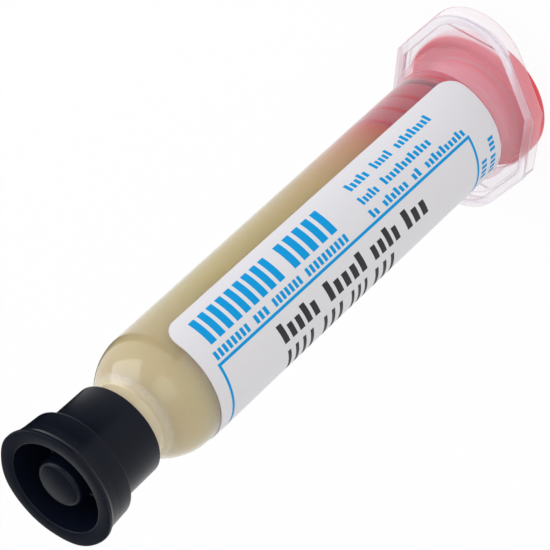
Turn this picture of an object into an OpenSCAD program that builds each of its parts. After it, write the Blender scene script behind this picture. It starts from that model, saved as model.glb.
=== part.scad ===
// Ten millilitre flux syringe, standing nose up on its rear end cap.
// Z is the barrel's axis, from the end cap's rear face to the tip cap's lip.
// X is the long axis of the finger flange, and all sizes are in millimetres.

/* [Barrel] */
// Outside diameter of the barrel
barrel_d = 18.6; // [16:0.1:24]
// Thickness of the barrel's wall
barrel_wall = 1.35; // [0.8:0.05:2]
// Straight length, from the flange's rear face to the start of the round nose
tube_len = 73.0; // [50:0.1:110]

/* [Hub and flange] */
// Height of the thicker hub in front of the flange over the barrel's surface
hub_step = 1.0; // [0.5:0.1:1.4]
// Straight length of the hub in front of the flange
hub_len = 2.1; // [1:0.1:4]
// Length of the cone from the hub down to the barrel
hub_taper_len = 0.8; // [0.4:0.1:2]
// Length of the flange across its two ears
flange_len = 36.2; // [34:0.1:44]
// Width of the flange across its flats
flange_w = 24.2; // [23:0.1:26]
// Thickness of the flange at its rim
flange_t = 2.9; // [2:0.1:4]
// Radius of the round end of each ear
flange_end_r = 8.4; // [7:0.1:9]
// Angle from the long axis to the square-on direction of a sloping side
flange_side_angle = 59.5; // [55:0.5:65]
// Width of the raised rim around the flange
rim_w = 1.4; // [0.8:0.1:2.5]
// Thickness of the thin web inside the rim
web_t = 1.1; // [0.8:0.1:1.8]
// Distance from the axis to the thinner window in each ear
window_x = 13.5; // [12.5:0.1:14]
// Length of that window, along the ear
window_len = 2.6; // [1:0.1:3]
// Depth of that window in the web
window_depth = 0.4; // [0.1:0.05:0.6]

/* [Nozzle] */
// Outside diameter of the locking collar around the nozzle
collar_d = 11.8; // [10:0.1:13]
// Inside diameter of the locking collar
collar_bore_d = 8.0; // [7.8:0.1:8.6]
// Height of the locking collar above the top of the round nose
collar_h = 5.1; // [3:0.1:8]
// Height of the nozzle above the top of the round nose
nozzle_len = 7.5; // [5:0.1:9]
// Diameter of the nozzle at its tip
nozzle_tip_d = 3.95; // [3.6:0.05:4.2]
// Growth of the nozzle's diameter for each millimetre towards its root
nozzle_taper = 0.06; // [0.02:0.01:0.08]
// Diameter of the outlet through the nozzle
outlet_d = 2.0; // [1:0.1:2.6]

/* [Tip cap] */
// Diameter of the cap's front lip
lip_d = 18.6; // [18:0.1:20]
// Length over which the lip flares out
lip_len = 2.6; // [1:0.1:4]
// Diameter of the grip just behind the lip
grip_d = 17.5; // [16.8:0.1:17.9]
// Narrowing of the grip's diameter from the lip to the step
grip_draft_d = 0.4; // [0:0.1:0.8]
// Length from the lip's face to the step behind the grip
grip_len = 5.4; // [5:0.1:8]
// Length of the rounded step between grip and skirt
step_len = 0.6; // [0.3:0.1:1]
// Outside diameter of the cap's skirt
skirt_d = 14.6; // [14:0.1:15.4]
// Narrowing of the skirt's diameter towards its rear edge
skirt_draft_d = 0.2; // [0:0.1:0.6]
// Length of the skirt behind the cap's web
skirt_len = 5.2; // [3:0.1:6]
// Diameter of the recess in the cap's face
recess_d = 14.3; // [13:0.1:15]
// Depth of the recess in the cap's face
recess_depth = 6.9; // [4:0.1:9]
// Thickness of the web that closes the cap
cap_web_t = 1.2; // [0.8:0.1:2]
// Diameter of the round core that stands in the recess
core_d = 7.26; // [6.8:0.02:7.4]
// Distance from the lip's face down to the core's face
core_setback = 0.6; // [0:0.1:2]
// Length of the core behind the web
core_tail_len = 4.4; // [3:0.1:5]

/* [Piston] */
// Length of the piston's cone
cone_len = 5.5; // [3:0.1:7]
// Radius of the flat at the cone's point
cone_tip_r = 1.0; // [0.5:0.1:2]
// Length of the piston behind its cone
piston_len = 10.0; // [8:0.1:14]
// Depth of the piston's side below its sealing rings
piston_relief = 0.7; // [0.3:0.05:1.2]
// Thickness of each sealing ring at the bore
ring_t = 0.8; // [0.4:0.1:1.4]
// Distance from one sealing ring to the next
ring_pitch = 3.4; // [2:0.1:3.6]
// Number of sealing rings
ring_count = 3; // [2:1:3]
// Thickness of the piston's wall
piston_wall = 1.3; // [0.8:0.1:2]
// Free length between the end cap's plug and the piston
piston_setback = 1.1; // [0.5:0.1:10]

/* [End cap] */
// Diameter of the end cap's head
head_d = 22.0; // [20:0.1:24]
// Thickness of the end cap's head
head_t = 3.3; // [2:0.1:5]
// Size of the bevel around the head
head_bevel = 0.5; // [0.1:0.1:1]
// Length of the plug inside the barrel
plug_len = 7.3; // [4:0.1:9]
// Depth of the plug's side below its sealing ribs
plug_relief = 0.35; // [0.1:0.05:0.6]
// Height of each sealing rib on the plug
plug_rib_t = 0.9; // [0.4:0.1:1.4]
// Thickness of the plug's wall and of its closed end
plug_wall = 1.5; // [0.8:0.1:2]

/* [Label] */
// Distance from the hub's cone to the label
label_hub_margin = 0.25; // [0.2:0.05:20]
// Distance from the start of the round nose to the label
label_nose_margin = 0.95; // [0.5:0.05:20]
// Angle that the label covers around the barrel
label_angle = 290; // [180:5:330]
// Direction of the label's first edge, from the flange's long axis
label_edge_angle = 8.5; // [-90:0.5:90]
// Radius of the label's corners
label_corner_r = 3; // [1:0.5:5]
// Thickness of the label
label_t = 0.12; // [0.08:0.01:0.2]

/* [Clearances] */
// Radial running clearance of the piston and the plug in the bore
bore_fit = 0.05; // [0.02:0.01:0.1]
// Radial clearance of the nozzle in the tip cap
nozzle_fit = 0.05; // [0.02:0.01:0.1]
// Radial clearance of the tip cap's skirt around the collar
skirt_gap = 0.3; // [0.2:0.05:0.4]
// Clearance from the collar's end to the tip cap's web
cap_seat_gap = 0.1; // [0.05:0.05:0.3]
// Clearance from the paste to the barrel
paste_gap = 0.1; // [0.05:0.05:0.3]
// Clearance from the paste to the piston
paste_piston_gap = 0.2; // [0.1:0.05:0.4]
// Clearance from the label to the barrel
label_gap = 0.02; // [0.01:0.01:0.05]

/* [Hidden] */
$fn = 96;
arc_steps = 24;
// How far a cutting tool runs past the face that it cuts
over = 1;

barrel_r = barrel_d / 2;
bore_r = barrel_r - barrel_wall;
hub_r = barrel_r + hub_step;

// Heights of the barrel's features above the end cap's rear face
barrel_z = head_t;
flange_top_z = barrel_z + flange_t;
hub_top_z = flange_top_z + hub_len;
nose_z = barrel_z + tube_len;
nose_top_z = nose_z + barrel_r;
collar_top_z = nose_top_z + collar_h;
nozzle_top_z = nose_top_z + nozzle_len;

// Half sizes of the flange's outline, and where its sloping sides touch the round ends
ear_x = flange_len / 2 - flange_end_r;
collar_r = collar_d / 2;
outlet_r = outlet_d / 2;
nozzle_tip_r = nozzle_tip_d / 2;
nozzle_root_r = nozzle_tip_r + nozzle_len * nozzle_taper / 2;

// Heights of the tip cap's features
web_low_z = collar_top_z + cap_seat_gap;
web_high_z = web_low_z + cap_web_t;
lip_z = web_high_z + recess_depth;
skirt_low_z = web_low_z - skirt_len;
core_low_z = web_low_z - core_tail_len;
core_r = core_d / 2;

// Heights of the plug and the piston
plug_top_z = barrel_z + plug_len;
piston_low_z = plug_top_z + piston_setback;
cone_low_z = piston_low_z + piston_len;
seal_r = bore_r - bore_fit;
piston_r = seal_r - piston_relief;
plug_r = seal_r - plug_relief;
plug_rib_pitch = plug_len - 2 * plug_rib_t;
cup_r = plug_r - plug_wall;

label_r = barrel_r + label_gap;
label_high_z = nose_z - label_nose_margin;
label_low_z = hub_top_z + hub_taper_len + label_hub_margin;
label_len = label_high_z - label_low_z;
// The circle that rounds a corner stands a little past the label's edges, so that it crosses them
label_corner_past = 0.15;
label_corner_in = label_corner_r - label_corner_past;
label_corner_angle = label_corner_in / label_r * 180 / PI;

// Points of an arc of radius r about the axis point at height z, from angle a0 to angle a1
function arc(r, z, a0, a1) = [
    for (i = [0:arc_steps])
    let (a = a0 + (a1 - a0) * i / arc_steps)
    [r * cos(a), z + r * sin(a)]
];

// Outline of the flange, drawn in by inset all round
module flange_outline(inset) {
    end_r = flange_end_r - inset;
    side_d = ear_x * cos(flange_side_angle) + end_r;
    touch_x = ear_x + end_r * cos(flange_side_angle);
    touch_y = end_r * sin(flange_side_angle);
    peak_y = side_d / sin(flange_side_angle);
    intersection() {
        polygon([
            [touch_x, touch_y], [0, peak_y], [-touch_x, touch_y],
            [-touch_x, -touch_y], [0, -peak_y], [touch_x, -touch_y]
        ]);
        square([2 * flange_len, flange_w - 2 * inset], center = true);
    }
    for (side = [-1, 1])
        translate([side * ear_x, 0]) circle(r = end_r);
}

// The moulded flange: a thin web with a raised rim and a window in each ear
module flange() {
    web_top_z = barrel_z + web_t;
    difference() {
        translate([0, 0, barrel_z]) linear_extrude(flange_t) flange_outline(0);
        translate([0, 0, web_top_z]) linear_extrude(flange_t) flange_outline(rim_w);
        for (side = [0, 180])
            rotate([0, 0, side])
            translate([0, 0, web_top_z - window_depth])
            linear_extrude(flange_t)
            intersection() {
                flange_outline(rim_w);
                translate([window_x, -flange_w / 2]) square([window_len, flange_w]);
            }
    }
}

// Outside of the barrel, from the hub over the round nose to the collar
module barrel_outside() {
    rotate_extrude()
        polygon(concat(
            [[0, barrel_z], [hub_r, barrel_z], [hub_r, hub_top_z], [barrel_r, hub_top_z + hub_taper_len]],
            arc(barrel_r, nose_z, 0, acos(collar_r / barrel_r)),
            [[collar_r, collar_top_z], [0, collar_top_z]]
        ));
}

// Inside of the barrel, drawn in by gap, from height low_z to height high_z in the outlet
module barrel_inside(gap, low_z, high_z) {
    r = bore_r - gap;
    throat_r = outlet_r - gap;
    rotate_extrude()
        polygon(concat(
            [[0, low_z], [r, low_z]],
            arc(r, nose_z, 0, acos(throat_r / r)),
            [[throat_r, high_z], [0, high_z]]
        ));
}

// One moulding: flange, hub, tube, round nose, locking collar and nozzle
module barrel() {
    color([0.93, 0.89, 0.87, 0.45])
    difference() {
        union() {
            difference() {
                union() {
                    barrel_outside();
                    flange();
                }
                translate([0, 0, nose_top_z]) cylinder(d = collar_bore_d, h = collar_h + over);
            }
            translate([0, 0, nose_top_z - barrel_wall / 2])
                cylinder(r = nozzle_root_r, h = barrel_wall / 2);
            translate([0, 0, nose_top_z])
                cylinder(r1 = nozzle_root_r, r2 = nozzle_tip_r, h = nozzle_len);
        }
        barrel_inside(0, barrel_z - over, nozzle_top_z + over);
    }
}

// Flux paste that fills the barrel in front of the piston
module flux_paste() {
    color([0.77, 0.71, 0.54])
    difference() {
        barrel_inside(paste_gap, cone_low_z + ring_t + paste_piston_gap, nozzle_top_z - paste_gap);
        translate([0, 0, paste_piston_gap]) piston_cone(over);
    }
}

// The piston's cone, with a straight base of its own radius that runs down by base_h
module piston_cone(base_h) {
    translate([0, 0, cone_low_z + ring_t])
        cylinder(r1 = piston_r, r2 = cone_tip_r, h = cone_len - ring_t);
    translate([0, 0, cone_low_z + ring_t - base_h])
        cylinder(r = piston_r, h = base_h);
}

// Hollow piston with sealing rings, open to the rear
module piston() {
    inner_r = piston_r - piston_wall;
    color([0.85, 0.26, 0.22])
    difference() {
        union() {
            piston_cone(ring_t + piston_len);
            for (i = [0:ring_count - 1])
                translate([0, 0, cone_low_z - i * ring_pitch])
                cylinder(r = seal_r, h = ring_t);
        }
        translate([0, 0, piston_low_z - over]) cylinder(r = inner_r, h = piston_len - piston_wall + over);
    }
}

// End cap: a round head with a cup-shaped plug that fits in the bore
module end_cap() {
    head_r = head_d / 2;
    color([0.88, 0.25, 0.22])
    difference() {
        union() {
            rotate_extrude()
                polygon([
                    [0, 0], [head_r - head_bevel, 0], [head_r, head_bevel],
                    [head_r, head_t - head_bevel], [head_r - head_bevel, head_t], [0, head_t]
                ]);
            cylinder(r = plug_r, h = plug_top_z);
            for (i = [0:1])
                translate([0, 0, barrel_z + plug_rib_t / 2 + i * plug_rib_pitch])
                cylinder(r = seal_r, h = plug_rib_t);
        }
        translate([0, 0, -over]) cylinder(r = cup_r, h = plug_top_z - plug_wall + over);
    }
}

// Tip cap: flared lip, grip and skirt, with a core that closes the nozzle
module tip_cap() {
    grip_r = grip_d / 2;
    grip_low_r = grip_r - grip_draft_d / 2;
    skirt_r = skirt_d / 2;
    skirt_low_r = skirt_r - skirt_draft_d / 2;
    skirt_bore_r = collar_r + skirt_gap;
    recess_r = recess_d / 2;
    socket_tip_r = nozzle_tip_r + nozzle_fit;
    socket_len = nozzle_top_z - core_low_z + cap_seat_gap;
    socket_root_r = socket_tip_r + socket_len * nozzle_taper / 2;
    color([0.14, 0.16, 0.19])
    difference() {
        union() {
            rotate_extrude()
                polygon([
                    [core_r / 2, web_low_z], [skirt_bore_r, web_low_z], [skirt_bore_r, skirt_low_z],
                    [skirt_low_r, skirt_low_z], [skirt_r, lip_z - grip_len - step_len],
                    [grip_low_r, lip_z - grip_len], [grip_r, lip_z - lip_len], [lip_d / 2, lip_z],
                    [recess_r, lip_z], [recess_r, web_high_z], [core_r / 2, web_high_z]
                ]);
            translate([0, 0, core_low_z]) cylinder(r = core_r, h = lip_z - core_setback - core_low_z);
        }
        translate([0, 0, core_low_z]) cylinder(r1 = socket_root_r, r2 = socket_tip_r, h = socket_len);
        translate([0, 0, core_low_z - over]) cylinder(r = socket_root_r, h = over);
    }
}

// What rounds one corner of the label, at the origin and reaching along +Y and +Z
module label_corner() {
    depth = barrel_r;
    translate([depth / 2, 0, 0])
    difference() {
        cube([depth, 2 * label_corner_r, 2 * label_corner_r]);
        translate([-over, 0, 0]) rotate([0, 90, 0]) cylinder(r = label_corner_r, h = depth + 2 * over);
    }
}

// Paper label wrapped around the barrel, with a bare strip left between its edges
module label() {
    mid_angle = label_edge_angle - label_angle / 2;
    corner_turn = label_angle / 2 - label_corner_angle;
    mid_z = (label_high_z + label_low_z) / 2;
    color([0.87, 0.86, 0.89])
    rotate([0, 0, mid_angle])
    difference() {
        translate([0, 0, label_low_z])
            rotate([0, 0, -label_angle / 2])
            rotate_extrude(angle = label_angle)
            translate([label_r, 0]) square([label_t, label_len]);
        for (turn = [0, 1], flip = [0, 1])
            translate([0, 0, mid_z])
            mirror([0, turn, 0])
            mirror([0, 0, flip])
            rotate([0, 0, corner_turn])
            translate([0, 0, label_len / 2 - label_corner_in])
            label_corner();
    }
}

barrel();
flux_paste();
piston();
end_cap();
tip_cap();
label();
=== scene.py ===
"""Looks of a ten millilitre flux syringe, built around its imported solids.

The syringe stands nose up on its rear end cap. It is a flanged barrel of natural polypropylene, full
of amber flux paste, with a red piston and end cap, a black tip cap and a printed paper label. Sizes
are written in millimetres and angles in degrees, and both are turned to Blender's own units where a
mesh, a lamp or a texture is made. Heights are counted from the end cap's rear face.
"""

import logging
import math
from collections.abc import Callable, Iterator, Sequence
from dataclasses import dataclass, replace
from enum import Enum
from functools import cache

import bmesh
import bpy
from mathutils import Matrix, Vector


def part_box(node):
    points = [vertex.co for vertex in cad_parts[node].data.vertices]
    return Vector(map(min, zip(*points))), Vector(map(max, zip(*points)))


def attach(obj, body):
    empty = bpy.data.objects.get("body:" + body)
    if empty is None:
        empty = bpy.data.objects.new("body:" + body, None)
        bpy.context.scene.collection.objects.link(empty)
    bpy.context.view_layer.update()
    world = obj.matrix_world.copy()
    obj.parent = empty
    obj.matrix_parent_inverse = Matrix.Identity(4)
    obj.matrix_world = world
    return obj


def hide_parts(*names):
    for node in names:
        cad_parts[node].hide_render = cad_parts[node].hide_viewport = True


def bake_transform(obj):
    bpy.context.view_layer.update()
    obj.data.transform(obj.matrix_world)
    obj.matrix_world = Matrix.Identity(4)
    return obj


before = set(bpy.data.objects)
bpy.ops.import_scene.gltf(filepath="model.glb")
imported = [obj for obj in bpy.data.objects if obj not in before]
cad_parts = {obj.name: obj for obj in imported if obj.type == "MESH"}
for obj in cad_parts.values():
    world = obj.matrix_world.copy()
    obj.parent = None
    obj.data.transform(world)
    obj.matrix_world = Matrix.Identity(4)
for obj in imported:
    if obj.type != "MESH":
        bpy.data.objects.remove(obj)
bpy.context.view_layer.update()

log = logging.getLogger("flux_syringe")

MM = 0.001
# Points on each rounded corner of a section, and the fold above which an edge is drawn crisp
ARC_POINTS = 5
CRISP_FOLD = 32.0
# How far a piece that presses on another reaches into it, so that no film of air shows between them
WET = 0.01
# Air left between two faces that only rest on each other
REST_GAP = 0.04
# Points this close become one, and edges this short are dropped
SAME_POINT = 0.0005
NO_EDGE = 0.0001
# Largest share of an edge that the rounding of one corner takes
CORNER_SHARE = 0.49
# Numbers of a colour mixer's share, its two colours and its result, whose names others have too
SHARE, FROM_COLOUR, TO_COLOUR, MIXED = 0, 6, 7, 2

Tree = bpy.types.NodeTree
Socket = bpy.types.NodeSocket
Settings = dict[str | int, object]
Links = dict[str | int, Socket]
Faces = list[tuple[int, ...]]


class Body(Enum):
    """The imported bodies, which move apart at the joints."""

    BARREL = "barrel"
    PISTON = "piston"
    END_CAP = "end_cap"
    TIP_CAP = "tip_cap"


class Slot(Enum):
    """The record's material slots."""

    BARREL = "clear_barrel"
    PASTE = "flux_paste"
    PISTON = "red_piston"
    END_CAP = "red_end_cap"
    TIP_CAP = "black_cap"
    LABEL = "label_paper"


def turn(degrees: float) -> float:
    """Returns an angle in radians."""
    return math.radians(degrees)


def linear(hex_colour: str) -> tuple[float, float, float, float]:
    """Turns an sRGB colour into Blender's linear colour.

    Args:
        hex_colour: the colour as six hexadecimal digits, such as "F4EEEC".

    Returns:
        Red, green, blue and an alpha of 1.
    """
    shares = [int(hex_colour[i : i + 2], 16) / 255 for i in (0, 2, 4)]
    curve = [s / 12.92 if s <= 0.04045 else ((s + 0.055) / 1.055) ** 2.4 for s in shares]
    return (curve[0], curve[1], curve[2], 1.0)


def per_metre(size: float) -> float:
    """Returns a texture's scale for a pattern whose grain measures size millimetres."""
    return 1 / (size * MM)


def add_node(
    tree: Tree, kind: str, settings: Settings | None = None, links: Links | None = None
) -> bpy.types.Node:
    """Adds one node with its settings and links.

    Args:
        tree: the node tree that takes it.
        kind: Blender's name for the type of node.
        settings: values of the node's own properties, or of its inputs by name or number.
        links: the output that feeds each linked input, by name or number.

    Returns:
        The new node.
    """
    node = tree.nodes.new(kind)
    for key, value in (settings or {}).items():
        if isinstance(key, str) and hasattr(node, key):
            setattr(node, key, value)
        else:
            node.inputs[key].default_value = value
    for key, output in (links or {}).items():
        tree.links.new(output, node.inputs[key])
    return node


def new_material(name: str, surface: Callable[[Tree], Socket]) -> bpy.types.Material:
    """Builds a material.

    Args:
        name: its name.
        surface: adds the shaders to a tree and returns the output that the surface shows.

    Returns:
        The material.
    """
    made = bpy.data.materials.new(name)
    made.use_nodes = True
    tree = made.node_tree
    tree.nodes.clear()
    add_node(tree, "ShaderNodeOutputMaterial", links={"Surface": surface(tree)})
    return made


def direction(azimuth: float, elevation: float = 0.0) -> Vector:
    """Finds the unit vector that points in a direction.

    Args:
        azimuth: its angle around the barrel's axis.
        elevation: its angle above level.

    Returns:
        The vector.
    """
    level, around = math.cos(turn(elevation)), turn(azimuth)
    return Vector((level * math.cos(around), level * math.sin(around), math.sin(turn(elevation))))


# Finishes


@dataclass(frozen=True)
class Finish:
    """A finish of one material. Its kinds add the pattern that the real material shows.

    Attributes:
        name: what the material is and how its surface was made.
        colour: the colour in sRGB.
        roughness: how matt the surface is.
        ior: index of refraction.
        mottle: share by which the colour is darker in its darker patches.
        mottle_size: size of those patches.
        wander: share by which the roughness wanders either way, in patches half that size.
        grain_size: size of the surface's fine bumps, coarser than real ones where those wouldn't show.
        grain_depth: height of those bumps.
    """

    name: str
    colour: str
    roughness: float
    ior: float
    mottle: float = 0.04
    mottle_size: float = 8.0
    wander: float = 0.1
    grain_size: float = 0.5
    grain_depth: float = 0.01

    def constants(self) -> Settings:
        """Returns the shader's values that are the same all over the surface."""
        return {"IOR": self.ior}

    def patches(self, tree: Tree, size: float) -> Socket:
        """Adds a value that wanders over the surface in soft patches.

        Args:
            tree: the material's node tree.
            size: size of the patches.

        Returns:
            The value, from 0 to 1.
        """
        place = add_node(tree, "ShaderNodeTexCoord")
        soft = add_node(
            tree,
            "ShaderNodeTexNoise",
            {"Scale": per_metre(size), "Detail": 2.0},
            {"Vector": place.outputs["Object"]},
        )
        return soft.outputs["Fac"]

    def colour_socket(self, tree: Tree) -> Socket:
        """Adds the colour, which is a little darker in soft patches.

        Args:
            tree: the material's node tree.

        Returns:
            The colour.
        """
        plain = linear(self.colour)
        dark = tuple(c * (1 - self.mottle) for c in plain[:3]) + (1.0,)
        mixed = add_node(
            tree,
            "ShaderNodeMix",
            {"data_type": "RGBA", FROM_COLOUR: dark, TO_COLOUR: plain},
            {SHARE: self.patches(tree, self.mottle_size)},
        )
        return mixed.outputs[MIXED]

    def roughness_socket(self, tree: Tree) -> Socket:
        """Adds the roughness, which wanders a little.

        Args:
            tree: the material's node tree.

        Returns:
            The roughness.
        """
        low, high = self.roughness * (1 - self.wander), self.roughness * (1 + self.wander)
        span = add_node(
            tree,
            "ShaderNodeMapRange",
            {"To Min": low, "To Max": high},
            {"Value": self.patches(tree, self.mottle_size / 2)},
        )
        return span.outputs["Result"]

    def height_socket(self, tree: Tree) -> Socket:
        """Returns the height of the fine bumps, from 0 to 1."""
        return self.patches(tree, self.grain_size)

    def normal_socket(self, tree: Tree) -> Socket:
        """Adds the surface's normal, which the fine bumps tip.

        Args:
            tree: the material's node tree.

        Returns:
            The normal.
        """
        bump = add_node(
            tree,
            "ShaderNodeBump",
            {"Strength": 1.0, "Distance": self.grain_depth * MM},
            {"Height": self.height_socket(tree)},
        )
        return bump.outputs["Normal"]

    def patterns(self, tree: Tree) -> Links:
        """Adds what varies over the surface.

        Args:
            tree: the material's node tree.

        Returns:
            What feeds each of the shader's values that vary.
        """
        return {
            "Base Color": self.colour_socket(tree),
            "Roughness": self.roughness_socket(tree),
            "Normal": self.normal_socket(tree),
        }

    def surface(self, tree: Tree) -> Socket:
        """Returns the output of the one shader, whose colour, roughness and normal carry the patterns."""
        shader = add_node(tree, "ShaderNodeBsdfPrincipled", self.constants(), self.patterns(tree))
        return shader.outputs["BSDF"]


@dataclass(frozen=True)
class NaturalPolypropylene(Finish):
    """Undyed polypropylene, injection moulded in a polished mould: a hazy body under a bright skin.

    What touches the wall shows clearly through it, and what stands off from it is blurred.

    Attributes:
        body: share of the light that the surface bends or scatters. The rest goes straight on.
        clear: share of the body's light that is bent through instead of being scattered as haze.
        skin: strength of the polished skin's sharp reflection.
        skin_roughness: how matt that skin is.
    """

    ior: float = 1.49
    mottle: float = 0.01
    mottle_size: float = 14.0
    grain_size: float = 3.0
    grain_depth: float = 0.02
    body: float = 1.0
    clear: float = 0.99
    skin: float = 0.5
    skin_roughness: float = 0.05

    def constants(self) -> Settings:
        """Gives the shader's values that are the same all over the surface.

        Returns:
            Each value, by the name of its input.
        """
        return {
            "IOR": self.ior,
            "Alpha": self.body,
            "Transmission Weight": self.clear,
            "Coat Weight": self.skin,
            "Coat Roughness": self.skin_roughness,
            "Coat IOR": self.ior,
        }


@dataclass(frozen=True)
class ThickeningPolypropylene(NaturalPolypropylene):
    """The same plastic along the tube and the nose, whose wall thickens towards the nozzle.

    Deep in the thick wall there is more haze. Around the nozzle's root the colour is painted: a pale tan that
    stands in for the paste's light glowing through, made lighter against the shade under the tip cap.

    Attributes:
        nose_low, nose_high: heights between which the haze of the nose comes in.
        nose_clear: share of the light that is bent through at the upper one.
        root_low, root_high: heights between which the haze of the nozzle's root and its painted glow take
            over.
        root_clear: share of the light that is bent through above them.
        root_painted_glow: the root's painted colour, the paste's glow lightened against the tip cap's shade.
    """

    nose_low: float = 64.0
    nose_high: float = 76.0
    nose_clear: float = 0.9
    root_low: float = 82.2
    root_high: float = 83.4
    root_clear: float = 0.4
    root_painted_glow: str = "F4E8C4"

    def above(self, tree: Tree, low: float, high: float, start: float, end: float) -> Socket:
        """Adds a value that changes between two heights.

        Args:
            tree: the material's node tree.
            low: the lower height.
            high: the upper height.
            start: the value up to the lower one.
            end: the value from the upper one on.

        Returns:
            The value.
        """
        place = add_node(tree, "ShaderNodeTexCoord")
        apart = add_node(tree, "ShaderNodeSeparateXYZ", links={"Vector": place.outputs["Object"]})
        span = {"From Min": low * MM, "From Max": high * MM, "To Min": start, "To Max": end}
        value = add_node(tree, "ShaderNodeMapRange", span, {"Value": apart.outputs["Z"]})
        return value.outputs["Result"]

    def colour_socket(self, tree: Tree) -> Socket:
        """Adds the colour, with the painted glow of the paste around the nozzle's root.

        Args:
            tree: the material's node tree.

        Returns:
            The colour.
        """
        # Painted light: a pale tan glow of the paste, lighter than the shade under the tip cap would leave
        root_painted_share = self.above(tree, self.root_low, self.root_high, 0.0, 1.0)
        mixed = add_node(
            tree,
            "ShaderNodeMix",
            {"data_type": "RGBA", TO_COLOUR: linear(self.root_painted_glow)},
            {SHARE: root_painted_share, FROM_COLOUR: super().colour_socket(tree)},
        )
        return mixed.outputs[MIXED]

    def patterns(self, tree: Tree) -> Links:
        """Adds what varies over the surface, here also the haze.

        Args:
            tree: the material's node tree.

        Returns:
            What feeds each of the shader's values that vary.
        """
        root_share = self.root_clear / self.nose_clear
        clear = add_node(
            tree,
            "ShaderNodeMath",
            {"operation": "MULTIPLY"},
            {
                0: self.above(tree, self.nose_low, self.nose_high, self.clear, self.nose_clear),
                1: self.above(tree, self.root_low, self.root_high, 1.0, root_share),
            },
        )
        return {**super().patterns(tree), "Transmission Weight": clear.outputs[0]}


@dataclass(frozen=True)
class WaxyPlastic(Finish):
    """Dyed polyethylene, injection moulded: light enters a little way, which softens its edges.

    Attributes:
        glow: share of the light that scatters under the surface.
        depth: how far that light goes.
        spread: share of that depth which red, green and blue light reach.
        sheen: strength of the surface's reflection, where 0.5 is that of a clean smooth plastic.
    """

    ior: float = 1.51
    glow: float = 0.1
    depth: float = 0.5
    spread: tuple[float, float, float] = (1.0, 0.6, 0.4)
    sheen: float = 0.5

    def constants(self) -> Settings:
        """Gives the shader's values that are the same all over the surface.

        Returns:
            Each value, by the name of its input.
        """
        return {
            "IOR": self.ior,
            "Specular IOR Level": self.sheen,
            "Subsurface Weight": self.glow,
            "Subsurface Scale": self.depth * MM,
            "Subsurface Radius": self.spread,
        }


@dataclass(frozen=True)
class RosinPaste(WaxyPlastic):
    """Rosin flux paste, filled in without bubbles: smooth and amber, with red painted in towards the piston,
    where the piston shows through.

    Attributes:
        painted_red: painted colour right at the piston, which stands in for its red seen through the paste.
        painted_red_run: how far in front of the piston the painted red has faded to a third.
    """

    painted_red: str = "E4443E"
    painted_red_run: float = 7.5

    def painted_red_share(self, tree: Tree) -> Socket:
        """Adds the share of painted red, which fades with the distance from the piston.

        Args:
            tree: the material's node tree.

        Returns:
            The strength: 1 right at the piston, and 0 far from it.
        """
        run = add_node(tree, "ShaderNodeAttribute", {"attribute_name": PISTON_RUN})
        runs = add_node(
            tree, "ShaderNodeMath", {"operation": "MULTIPLY", 1: -1 / self.painted_red_run}, {0: run.outputs["Fac"]}
        )
        fade = add_node(
            tree, "ShaderNodeMath", {"operation": "EXPONENT", "use_clamp": True}, {0: runs.outputs[0]}
        )
        return fade.outputs[0]

    def colour_socket(self, tree: Tree) -> Socket:
        """Adds the amber, which turns to the painted red towards the piston.

        Args:
            tree: the material's node tree.

        Returns:
            The colour.
        """
        # Painted light: the piston's red, seen through the paste, is mixed into the paste's colour
        mixed = add_node(
            tree,
            "ShaderNodeMix",
            {"data_type": "RGBA", TO_COLOUR: linear(self.painted_red)},
            {SHARE: self.painted_red_share(tree), FROM_COLOUR: super().colour_socket(tree)},
        )
        return mixed.outputs[MIXED]

    def patterns(self, tree: Tree) -> Links:
        """Adds what varies over the surface, here also how much of the light scatters.

        The layer over the piston's cone is too thin for light to scatter far in it.

        Args:
            tree: the material's node tree.

        Returns:
            What feeds each of the shader's values that vary.
        """
        glow = add_node(
            tree,
            "ShaderNodeMapRange",
            {"To Min": self.glow, "To Max": 0.0},
            {"Value": self.painted_red_share(tree)},
        )
        return {**super().patterns(tree), "Subsurface Weight": glow.outputs["Result"]}


@dataclass(frozen=True)
class CoatedPaper(Finish):
    """Gloss-coated label paper: white, faintly fibrous, with a low even sheen.

    Attributes:
        fibre_size: width of a fibre, about ten times that of a real one, which wouldn't show.
        fibre_draw: that width as a share of a fibre's length.
    """

    fibre_size: float = 0.35
    fibre_draw: float = 0.35

    def height_socket(self, tree: Tree) -> Socket:
        """Adds the height of the fibres, which run around the barrel.

        Args:
            tree: the material's node tree.

        Returns:
            The height, from 0 to 1.
        """
        place = add_node(tree, "ShaderNodeTexCoord")
        drawn = add_node(
            tree,
            "ShaderNodeMapping",
            {"Scale": (self.fibre_draw, self.fibre_draw, 1.0)},
            {"Vector": place.outputs["Object"]},
        )
        fibres = add_node(
            tree,
            "ShaderNodeTexNoise",
            {"Scale": per_metre(self.fibre_size), "Detail": 4.0},
            {"Vector": drawn.outputs["Vector"]},
        )
        return fibres.outputs["Fac"]


@dataclass(frozen=True)
class OffsetInk(Finish):
    """Offset printing ink: a thin matt film, so that its colour stays deep.

    Attributes:
        sheen: strength of the surface's reflection, where 0.5 is that of a clean smooth film.
    """

    roughness: float = 0.5
    ior: float = 1.5
    mottle_size: float = 1.5
    sheen: float = 0.1

    def constants(self) -> Settings:
        """Returns the shader's values that are the same all over the surface."""
        return {"IOR": self.ior, "Specular IOR Level": self.sheen}


# Name of the attribute that holds how far in front of the piston a point of the paste lies
PISTON_RUN = "piston_run"

# Natural polypropylene out of a polished mould: a clear, slightly milky wall under a crisp highlight, with a
# painted glow of the paste at the nozzle's root
BARREL_FINISH = ThickeningPolypropylene("natural_polypropylene_moulded", "FCFAFF", roughness=0.19)
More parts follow.
